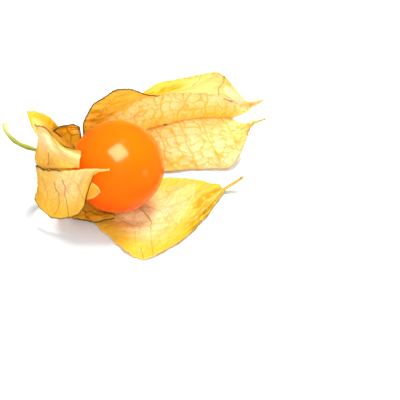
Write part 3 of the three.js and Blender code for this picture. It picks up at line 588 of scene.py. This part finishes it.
def build_cup(material):
    """The untorn cup round the stalk: a shell of the sphere that the lobes start on, from the hole of the
    receptacle out to a wavy edge, thick and ribbed at the stalk and thin where the lobes take over."""
    rows, columns, waves = 40, 240, 5
    share, around = np.meshgrid(np.linspace(0, 1, rows), np.linspace(0, 2 * np.pi, columns, endpoint=False),
                                indexing="ij")
    wander = ripple(21, np.cos(around) * 3, np.sin(around) * 3)
    edge = CUP_RADIUS + 0.25 * np.sin(waves * around) + 0.15 * wander
    out = HOLE_RADIUS + (edge - HOLE_RADIUS) * share
    rib = bell(np.abs(np.sin(waves * around)) * out / waves, 0.3)
    up, side = stalk_axes()
    way = up * np.cos(around)[..., None] + side * np.sin(around)[..., None]

    def shell(radius):
        """The cup's points at that distance from the fruit's centre."""
        tilt = np.arcsin(out / SHELL_RADIUS)[..., None]
        return radius[..., None] * (-BLOSSOM_END * np.cos(tilt) + way * np.sin(tilt))

    def flat(values):
        """Values on the grid as those of the outer face and then, back from the edge, of the inner one."""
        return np.concatenate([values.ravel(), values[::-1].ravel()])

    def even(value):
        """One value all over the cup."""
        return np.full(2 * rows * columns, value)

    thick = 0.34 - 0.2 * share
    relief = 0.18 * rib * (1 - 0.5 * share) + 0.03 * ripple(22, around * 6, out * 2)
    outer = shell(SHELL_RADIUS + thick + relief)
    inner = shell(SHELL_RADIUS - 0.15 + 0 * share)
    ring = np.vstack([outer.reshape(-1, 3), inner[::-1].reshape(-1, 3)])
    i = np.arange(2 * rows)[:, None] * columns
    j = np.arange(columns)[None, :]
    k = (j + 1) % columns
    after = (i + columns) % (2 * rows * columns)
    faces = np.stack([i + j, i + k, after + k, after + j], -1).reshape(-1, 4)
    masks = {
        "rib": flat(1 - rib), "side": even(2.0), "net": even(2.0), "rim": even(0.0), "pale_rim_and_highlight": even(0.0),
        "brown_and_shade": flat(1 - 0.2 * share), "inner": np.repeat(PLAIN["inside"], rows * columns),
        "mark": even(FAR_MARK), "veined": even(0.3), "cream": even(0.2), "combed": even(0.3),
    }
    uv = np.stack([flat(out), flat(around * 3)], 1) / UV_SPAN
    return make_piece("husk_cup", ring, faces, material, "husk", uv, masks)


# ---- The fruit and its stalk ----

def build_fruit(material):
    """The fruit: a slightly uneven ball, with a dimple round the dry scar of the flower and another at the
    stalk. The radius is a function of the angle from the blossom end and the angle round it."""
    rows, columns = 150, 200
    turn, around = np.meshgrid(np.linspace(0, np.pi, rows + 2)[1:-1],
                               np.linspace(0, 2 * np.pi, columns, endpoint=False), indexing="ij")
    up, side = stalk_axes()
    way = BLOSSOM_END * np.cos(turn)[..., None] + (
        up * np.cos(around)[..., None] + side * np.sin(around)[..., None]) * np.sin(turn)[..., None]

    def radius(turn, way):
        """The distance of the skin from the fruit's centre."""
        scar = SCAR_RISE * bell(turn, 0.07) - SCAR_DIMPLE * bell(turn, 0.2)
        seat = SEAT_DIMPLE * bell(np.pi - turn, 0.25)
        swell = 0.05 * ripple(31, *(way[..., axis] for axis in range(3)), pitch=1.4) - 0.05
        return BERRY_RADIUS + scar - seat + swell * np.sin(turn) ** 2

    body = way * radius(turn, way)[..., None]
    poles = np.array([BLOSSOM_END, -BLOSSOM_END])
    ends = poles * radius(np.array([0, np.pi]), poles)[:, None]
    points = np.vstack([body.reshape(-1, 3), ends])
    crumbs = bell(turn, 0.085) * (0.75 + 0.25 * ripple(32, around * 2, turn * 60))
    masks = {
        "scar": np.concatenate([crumbs.ravel(), [1, 0]]),
        "shoulder": np.concatenate([bell(turn - np.pi, 0.5).ravel(), [0, 1]]),
    }
    faces = closed_tube_faces(rows, columns)
    return make_piece("fruit", points, faces, material, "berry", None, masks)


def build_stalk(material):
    """The stalk: rings carried along its route, from the knob under the fruit to the slightly splayed cut
    end. The radius follows the knob's profile, then swells and thins a little, with five soft ridges."""
    start = BERRY_RADIUS + GAP - SEAT_DIMPLE
    route = [-BLOSSOM_END * start, *STALK_ROUTE]
    rings, sides, ridges = 300, 40, 5
    path = spline(route, np.linspace(0, 1, rings))
    length = np.concatenate([[0], np.cumsum(np.linalg.norm(np.diff(path, axis=0), axis=1))])
    ahead = unit(np.gradient(path, axis=0))
    side = unit(np.cross(ahead, [0, 0, 1.0]))
    up = np.cross(side, ahead)
    from_cut = length[-1] - length
    profile = np.interp(length, *zip(*KNOB))
    radius = profile * (1 + 0.06 * ripple(41, length, pitch=4)) + 0.12 * bell(from_cut, 0.5)
    around = np.linspace(0, 2 * np.pi, sides, endpoint=False)
    ridge = 1 + 0.07 * np.cos(ridges * around[None, :] + 0.15 * length[:, None])
    reach = (radius[:, None] * ridge)[..., None]
    turn = side[:, None] * np.cos(around)[None, :, None] + up[:, None] * np.sin(around)[None, :, None]
    body = path[:, None] + reach * turn
    points = np.vstack([body.reshape(-1, 3), path[0], path[-1]])

    def spread(values, ends):
        """One value a ring as one for each of its points, and those of the two centre points."""
        return np.concatenate([np.repeat(values, sides), ends])

    masks = {
        # Painted highlight: how far the cut end is paled, as if washed out by light.
        "cut_highlight": spread(bell(from_cut, 2.5), [0, 1]),
        "knob": spread(np.exp(-((length / 3.2) ** 4)), [1, 0]),
    }
    unrolled = length / 30
    uv = np.stack([np.concatenate([np.tile(around / (2 * np.pi), rings), [0, 0]]),
                   spread(unrolled, [0, unrolled[-1]])], 1)
    faces = closed_tube_faces(rings, sides)
    return make_piece("stalk", points, faces, material, "stem", uv, masks)


# ---- Materials ----

def add(tree, kind, inputs=None, **settings):
    """A new node with those settings. inputs maps a socket to a value or to the socket that feeds it."""
    made = tree.nodes.new(kind)
    for key, value in settings.items():
        setattr(made, key, value)
    for key, value in (inputs or {}).items():
        if isinstance(value, bpy.types.NodeSocket):
            tree.links.new(value, made.inputs[key])
        else:
            made.inputs[key].default_value = value
    return made


def mask(tree, name):
    """The value of one of the piece's masks."""
    return add(tree, "ShaderNodeAttribute", attribute_name=name).outputs["Fac"]


def maths(tree, operation, *values):
    """The result of a Math node on those values."""
    return add(tree, "ShaderNodeMath", dict(enumerate(values)), operation=operation).outputs[0]


def times(tree, first, second):
    """The product of two values."""
    return maths(tree, "MULTIPLY", first, second)


def blend(tree, factor, first, second):
    """The colour between first and second by factor."""
    inputs = {0: factor, 6: first, 7: second}
    return add(tree, "ShaderNodeMix", inputs, data_type="RGBA").outputs[2]


def painted(tree, colour, layers):
    """The colour under layers, each with the mask of where it lies, how much of it shows, and its colour."""
    for where, most, over in layers:
        colour = blend(tree, times(tree, where, most), colour, over)
    return colour


def spread_out(tree, value, low, high):
    """The value stretched so that low becomes 0 and high becomes 1, and kept between them."""
    return add(tree, "ShaderNodeMapRange", {"Value": value, "From Min": low, "From Max": high}).outputs[0]


def flat_noise(tree, vector, scale, detail, roughness=0.5):
    """Noise over the sheet's two coordinates: its value and its colour."""
    inputs = {"Vector": vector, "Scale": scale, "Detail": detail, "Roughness": roughness}
    return add(tree, "ShaderNodeTexNoise", inputs, noise_dimensions="2D").outputs


def mottle_group():
    """A node group that drifts a colour to another in soft blotches, from noise on Object coordinates."""
    group = bpy.data.node_groups.new("mottle", "ShaderNodeTree")
    for name, kind in (("Colour", "NodeSocketColor"), ("Blotch", "NodeSocketColor"),
                       ("Amount", "NodeSocketFloat"), ("Scale", "NodeSocketFloat")):
        group.interface.new_socket(name, in_out="INPUT", socket_type=kind)
    group.interface.new_socket("Colour", in_out="OUTPUT", socket_type="NodeSocketColor")
    entry, leave = group.nodes.new("NodeGroupInput"), group.nodes.new("NodeGroupOutput")
    place = add(group, "ShaderNodeTexCoord").outputs["Object"]
    noise = add(group, "ShaderNodeTexNoise", {"Vector": place, "Scale": entry.outputs["Scale"], "Detail": 3.0,
                                              "Roughness": 0.6})
    amount = times(group, spread_out(group, noise.outputs[0], 0.42, 0.68), entry.outputs["Amount"])
    colour = blend(group, amount, entry.outputs["Colour"], entry.outputs["Blotch"])
    group.links.new(colour, leave.inputs["Colour"])
    return group


def mottled(tree, group, colour, blotch, amount, scale):
    """The colour with soft blotches of another."""
    inputs = {"Colour": colour, "Blotch": blotch, "Amount": amount, "Scale": scale}
    return add(tree, "ShaderNodeGroup", inputs, node_tree=group).outputs["Colour"]


def start_material(name):
    """An empty material with its output node."""
    material = bpy.data.materials.new(name)
    material.use_nodes = True
    material.node_tree.nodes.clear()
    return material, material.node_tree, material.node_tree.nodes.new("ShaderNodeOutputMaterial")


def husk_paper(mottle):
    """The dry papery skin: straw outside and cream inside, with orange-brown veins and a net of fine ones
    between them, combed fibres, brown at the root and in stains that is partly the husk's own and partly
    painted shade, broken up by blotches, a painted highlight along fold crests, and dark or pale torn
    rims. Half of it throws back the light that falls on it, and half lets light through."""
    material, tree, output = start_material("husk_paper")
    names = ("rib", "side", "net", "rim", "pale_rim_and_highlight", "brown_and_shade", "inner", "mark", "veined", "cream", "combed")
    rib, side, net, rim, pale_rim_and_highlight, brown_and_shade, inner, mark, veined, cream, combed = (
        mask(tree, name) for name in names)
    cream = spread_out(tree, maths(tree, "MULTIPLY_ADD", inner, 0.4, cream), 0.0, 1.0)

    sheet = add(tree, "ShaderNodeUVMap", uv_map="sheet").outputs[0]
    wobble = flat_noise(tree, sheet, 40.0, 2.0)
    bent = add(tree, "ShaderNodeMix", {0: 0.01, 4: sheet, 5: wobble["Color"]}, data_type="VECTOR").outputs[1]
    small = add(tree, "ShaderNodeTexVoronoi", {"Vector": bent, "Scale": 80.0}, voronoi_dimensions="2D",
                feature="DISTANCE_TO_EDGE").outputs["Distance"]
    grain = flat_noise(tree, sheet, 420.0, 4.0)[0]

    # Veins: the side veins, the net between them and the finest ones, each stronger towards its middle.
    shown = times(tree, veined, maths(tree, "MULTIPLY_ADD", inner, 0.7, 0.3))
    vein = times(tree, spread_out(tree, side, 0.24, 0.06), shown)
    for line, none, full, most in ((net, 0.2, 0.04, 0.82), (small, 0.16, 0.0, 0.52)):
        line = times(tree, spread_out(tree, line, none, full), times(tree, shown, most))
        vein = maths(tree, "MAXIMUM", vein, line)

    # Streaks: fibres combed along the sheet, fewer on its inner face, and specks.
    stretched = add(tree, "ShaderNodeMapping", {"Vector": bent, "Scale": (9.0, 55.0, 1.0)}).outputs[0]
    fibres = spread_out(tree, flat_noise(tree, stretched, 1.0, 3.0, 0.6)[0], 0.45, 0.62)
    fibres = times(tree, fibres, times(tree, combed, maths(tree, "MULTIPLY_ADD", inner, -0.5, 1.0)))
    specks = times(tree, spread_out(tree, flat_noise(tree, sheet, 150.0, 2.0)[0], 0.48, 0.64), 0.8)
    streaks = maths(tree, "MAXIMUM", fibres, specks)

    blotches = spread_out(tree, wobble[0], 0.5, 0.62)
    # The brown layer is partly the husk's own darker root and stains, and partly painted shade on faces in
    # shadow; the deep layer follows it.
    brown_and_shade = times(tree, brown_and_shade, maths(tree, "MULTIPLY_ADD", blotches, -0.3, 1.0))
    deep = spread_out(tree, brown_and_shade, 0.8, 1.0)
    ribbed = maths(tree, "SUBTRACT", 1.0, rib)
    marked = spread_out(tree, mark, 1.5, 0.6)
    dark = spread_out(tree, rim, 0.2, 0.75)

    lit = blend(tree, cream, (0.94, 0.63, 0.05, 1), (1.0, 0.905, 0.62, 1))
    paler = blend(tree, cream, (0.95, 0.72, 0.11, 1), (1.0, 0.94, 0.85, 1))
    lit = mottled(tree, mottle, lit, paler, 0.8, 190.0)
    lit = painted(tree, lit, (
        (streaks, 1.0, blend(tree, cream, (0.86, 0.50, 0.02, 1), (0.97, 0.82, 0.32, 1))),
        (vein, 1.0, (0.90, 0.52, 0.016, 1)),
        (brown_and_shade, 0.95, (0.86, 0.58, 0.008, 1)),
        (deep, 0.6, (0.52, 0.28, 0.005, 1)),
        (ribbed, 0.9, (0.66, 0.32, 0.006, 1)),
        # Painted highlight: this layer paints fold crests pale, and colours the pale torn rims.
        (pale_rim_and_highlight, 0.6, (0.95, 0.85, 0.40, 1)),
        (marked, 0.65, (0.25, 0.12, 0.03, 1)),
        (dark, 1.0, (0.12, 0.055, 0.02, 1)),
    ))
    through = blend(tree, cream, (1.0, 0.69, 0.06, 1), (1.0, 0.905, 0.54, 1))
    through = painted(tree, through, (
        (streaks, 1.0, blend(tree, cream, (0.92, 0.54, 0.02, 1), (1.0, 0.85, 0.30, 1))),
        (vein, 1.0, (0.94, 0.54, 0.012, 1)),
        (brown_and_shade, 1.0, (0.90, 0.60, 0.006, 1)),
        (deep, 0.6, (0.50, 0.24, 0.003, 1)),
        (ribbed, 0.9, (0.72, 0.34, 0.005, 1)),
        (marked, 0.65, (0.25, 0.11, 0.02, 1)),
        (dark, 1.0, (0.12, 0.05, 0.015, 1)),
    ))

    height = maths(tree, "MULTIPLY_ADD", vein, 0.6, times(tree, grain, 0.5))
    bump = add(tree, "ShaderNodeBump", {"Height": height, "Strength": 0.5, "Distance": 0.0001}).outputs[0]
    paper = add(tree, "ShaderNodeBsdfPrincipled", {
        "Base Color": lit, "Roughness": spread_out(tree, grain, -0.4, 1.5), "Normal": bump,
        "Specular IOR Level": 0.2,
    })
    glow = add(tree, "ShaderNodeBsdfTranslucent", {"Color": through, "Normal": bump})
    both = add(tree, "ShaderNodeMixShader", {0: 0.5, 1: paper.outputs[0], 2: glow.outputs[0]})
    tree.links.new(both.outputs[0], output.inputs["Surface"])
    return material


def ripe_skin(mottle):
    """The glossy skin of the ripe fruit: deep orange, redder round the shoulder, with painted shade that
    makes it redder low down, faint paler flecks, a dull dry scar and a soft sheen."""
    material, tree, output = start_material("ripe_skin")
    place = add(tree, "ShaderNodeTexCoord").outputs["Object"]
    height = add(tree, "ShaderNodeSeparateXYZ", {"Vector": place}).outputs["Z"]
    spots = add(tree, "ShaderNodeTexVoronoi", {"Vector": place, "Scale": 1500.0}).outputs["Distance"]
    flecks = maths(tree, "SUBTRACT", 1.0, spread_out(tree, spots, 0.05, 0.3))
    scar = spread_out(tree, mask(tree, "scar"), 0.15, 0.7)
    skin = mottled(tree, mottle, (0.92, 0.125, 0.0004, 1), (0.90, 0.11, 0.0004, 1), 0.7, 140.0)
    skin = painted(tree, skin, (
        (mask(tree, "shoulder"), 0.8, (0.85, 0.06, 0.0005, 1)),
        # Painted shade: by height, the skin turns redder towards the bottom, as if the lower half lay in
        # shadow.
        (spread_out(tree, height, 0.012, 0.002), 1.0, (0.92, 0.05, 0.0005, 1)),
        (flecks, 0.12, (0.95, 0.18, 0.002, 1)),
        (scar, 0.5, (0.85, 0.16, 0.006, 1)),
    ))
    roughness = add(tree, "ShaderNodeMix", {0: scar, 2: 0.16, 3: 0.7}, data_type="FLOAT").outputs[0]
    dimples = add(tree, "ShaderNodeTexNoise", {"Vector": place, "Scale": 900.0, "Detail": 2.0}).outputs[0]
    bump = add(tree, "ShaderNodeBump", {"Height": dimples, "Strength": 0.06, "Distance": 0.0002}).outputs[0]
    shader = add(tree, "ShaderNodeBsdfPrincipled", {
        "Base Color": skin, "Roughness": roughness, "Normal": bump, "IOR": 1.5, "Specular IOR Level": 0.35,
        "Specular Tint": (1.0, 0.86, 0.5, 1), "Sheen Weight": 0.12, "Sheen Roughness": 0.25,
        "Sheen Tint": (1.0, 0.62, 0.3, 1), "Subsurface Weight": 0.12, "Subsurface Radius": (1.0, 0.3, 0.05),
        "Subsurface Scale": 0.002,
    })
    tree.links.new(shader.outputs[0], output.inputs["Surface"])
    return material


def green_stalk(mottle):
    """The fresh stalk: yellow-green, streaked along its length, browner at the knob, and paler towards the
    cut end where a highlight is painted.
    """
    material, tree, output = start_material("green_stalk")
    along = add(tree, "ShaderNodeUVMap", uv_map="sheet").outputs[0]
    stretched = add(tree, "ShaderNodeMapping", {"Vector": along, "Scale": (14.0, 3.0, 1.0)}).outputs[0]
    streaks = flat_noise(tree, stretched, 3.0, 3.0)[0]
    skin = mottled(tree, mottle, (0.23, 0.27, 0.01, 1), (0.38, 0.37, 0.035, 1), 0.9, 260.0)
    skin = painted(tree, skin, (
        (spread_out(tree, streaks, 0.45, 0.75), 1.0, (0.33, 0.28, 0.03, 1)),
        (mask(tree, "knob"), 0.7, (0.5, 0.30, 0.06, 1)),
        # Painted highlight: the cut end drifts to pale straw as if washed out by light.
        (mask(tree, "cut_highlight"), 0.85, (0.72, 0.66, 0.28, 1)),
    ))
    bump = add(tree, "ShaderNodeBump", {"Height": streaks, "Strength": 0.4, "Distance": 0.0001}).outputs[0]
    shader = add(tree, "ShaderNodeBsdfPrincipled", {
        "Base Color": skin, "Roughness": 0.5, "Normal": bump, "Specular IOR Level": 0.35,
    })
    tree.links.new(shader.outputs[0], output.inputs["Surface"])
    return material


# ---- Stage ----

def plain_floor():
    """A large white table just under the part."""
    mesh = bpy.data.meshes.new("table")
    side, low = 2.0, -0.0001
    corners = [(-side, -side, low), (side, -side, low), (side, side, low), (-side, side, low)]
    mesh.from_pydata(corners, [], [(0, 1, 2, 3)])
    material, tree, output = start_material("white_table")
    shader = add(tree, "ShaderNodeBsdfPrincipled", {"Base Color": (0.61, 0.66, 0.665, 1), "Roughness": 0.9})
    tree.links.new(shader.outputs[0], output.inputs["Surface"])
    mesh.materials.append(material)
    floor = bpy.data.objects.new("table", mesh)
    bpy.context.collection.objects.link(floor)
    floor.visible_glossy = False


def area_light(name, aim, way, distance, size, radiance, turn=0.0, shows=True):
    """A square light facing aim from that way and distance, with the brightness of its face given: a face of
    brightness 1 all round would light white paper to 1."""
    light = bpy.data.lights.new(name, "AREA")
    light.shape = "SQUARE"
    light.size = size
    light.energy = radiance * np.pi * size**2
    lamp = bpy.data.objects.new(name, light)
    way = unit(np.array(way, float))
    lamp.location = aim + way * distance
    lamp.rotation_mode = "QUATERNION"
    facing = Vector(way).to_track_quat("Z", "Y")
    lamp.rotation_quaternion = facing @ Quaternion((0, 0, 1), turn)
    lamp.visible_glossy = shows
    bpy.context.collection.objects.link(lamp)
    return lamp


def soft_light(aim):
    """White all round, a strong light high up and a little behind that shines through the husk, a large
    weak one in front, and an overhead box whose face shows in the fruit."""
    world = bpy.data.worlds.new("studio")
    world.use_nodes = True
    tree = world.node_tree
    tree.nodes.clear()
    ray = add(tree, "ShaderNodeLightPath")
    glossy = ray.outputs["Is Glossy Ray"]
    strength = add(tree, "ShaderNodeMix", {0: glossy, 2: 0.9, 3: 0.04}, data_type="FLOAT").outputs[0]
    sky = add(tree, "ShaderNodeBackground", {"Color": (1, 1, 1, 1), "Strength": strength})
    tree.links.new(sky.outputs[0], add(tree, "ShaderNodeOutputWorld").inputs["Surface"])
    bpy.context.scene.world = world
    area_light("back_light", aim, (0.2, 0.3, 0.93), 0.7, 0.22, 46.0, shows=False)
    area_light("front_fill", aim, (0.2, -0.85, 0.5), 0.9, 0.7, 3.8, shows=False)
    box = area_light("overhead_box", aim, (0.04, -0.27, 0.96), 0.42, 0.27, 20.0, np.radians(30))
    box.visible_diffuse = False
    box.data.color = (1.0, 0.98, 0.95)


def camera():
    """The camera: 40 degrees above the table, level, looking along Y, with the fruit left of and above the
    middle of its square view."""
    tilt = np.radians(40)
    up, back = np.array([0, np.sin(tilt), np.cos(tilt)]), np.array([0, -np.cos(tilt), np.sin(tilt)])
    # In millimetres: how far the camera is, how wide its view is at the fruit, and how far the middle of the
    # view lies from the fruit, to the right and down.
    distance, across, right, down = 500.0, 81.72, 16.8, 6.8
    aim = CENTRE + MM * (np.array([right, 0, 0]) - down * up)
    lens = bpy.data.cameras.new("camera")
    lens.sensor_width = 36.0
    lens.lens = lens.sensor_width * distance / across
    eye = bpy.data.objects.new("camera", lens)
    eye.location = aim + back * distance * MM
    eye.rotation_euler = (np.pi / 2 - tilt, 0, 0)
    bpy.context.collection.objects.link(eye)
    bpy.context.scene.camera = eye


mottle = mottle_group()
paper = husk_paper(mottle)
build_husk("husk_back", ["back"], paper)
build_husk("husk_front", ["front", "floor"], paper)
build_husk("husk_left", ["left", "curl", "upper", "strip"], paper)
build_cup(paper)
build_fruit(ripe_skin(mottle))
build_stalk(green_stalk(mottle))

plain_floor()
soft_light(CENTRE)
camera()
bpy.context.scene.view_settings.view_transform = "Standard"
